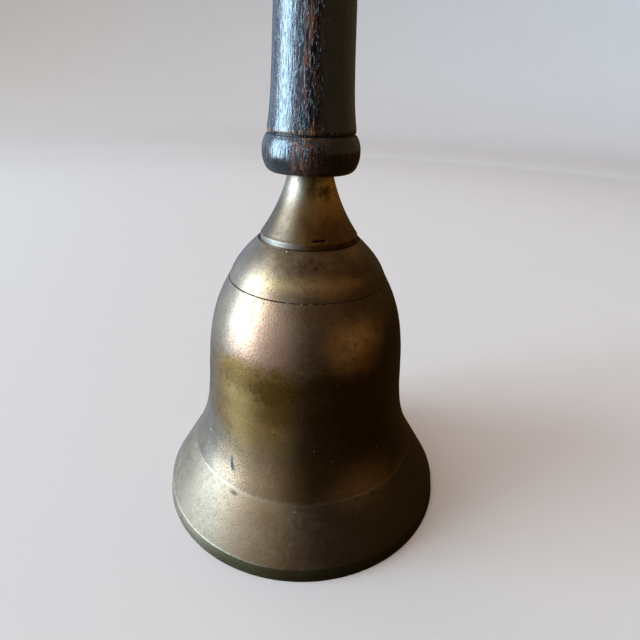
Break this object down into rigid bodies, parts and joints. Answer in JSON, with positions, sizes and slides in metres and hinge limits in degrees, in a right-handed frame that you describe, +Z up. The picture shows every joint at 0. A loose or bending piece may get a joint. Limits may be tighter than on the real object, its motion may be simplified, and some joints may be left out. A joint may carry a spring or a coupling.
{
  "type": "handbell",
  "caption": "Brass hand bell with a turned hardwood handle; the clapper hangs from an eye bolt by a wire link and swings inside the bell.",
  "frame": {"origin": "centre of the mouth, on the plane that the lip stands on", "axes": "+Z up along the bell's axis towards the handle's end; +X to the right and +Y to the back as the camera sees it"},
  "size_m": [0.09, 0.09, 0.2138],
  "materials": {
    "aged_brass": "aged, satin with brown and olive patina",
    "turned_brass": "aged, fine turning marks",
    "dark_hardwood": "dark stained and varnished, worn at the edges",
    "rod_steel": "drawn wire, dull",
    "dull_steel": "plated, dulled",
    "fitting_brass": "aged, handled",
    "ball_brass": "turned, bruised by striking"
  },
  "bodies": {
    "bell": {"bell_body": "aged_brass", "neck": "turned_brass", "handle": "dark_hardwood", "tie_rod": "rod_steel", "crown_washer": "dull_steel", "crown_lock_washer": "dull_steel", "crown_nut": "dull_steel", "top_washer": "fitting_brass", "finial_nut": "fitting_brass"},
    "link": {"clapper_link": "rod_steel"},
    "clapper": {"clapper_shank": "rod_steel", "clapper_jam_nut": "dull_steel", "clapper_ball": "ball_brass", "clapper_end_nut": "dull_steel"}
  },
  "joints": [
    {"name": "link_swing", "type": "hinge", "parent": "bell", "child": "link", "pos_m": [0, 0, 0.0594], "axis": [1, 0, 0], "range_deg": [-28, 28]},
    {"name": "clapper_swing", "type": "hinge", "parent": "link", "child": "clapper", "pos_m": [0, 0, 0.0494], "axis": [0, 1, 0], "range_deg": [-10, 10]}
  ]
}
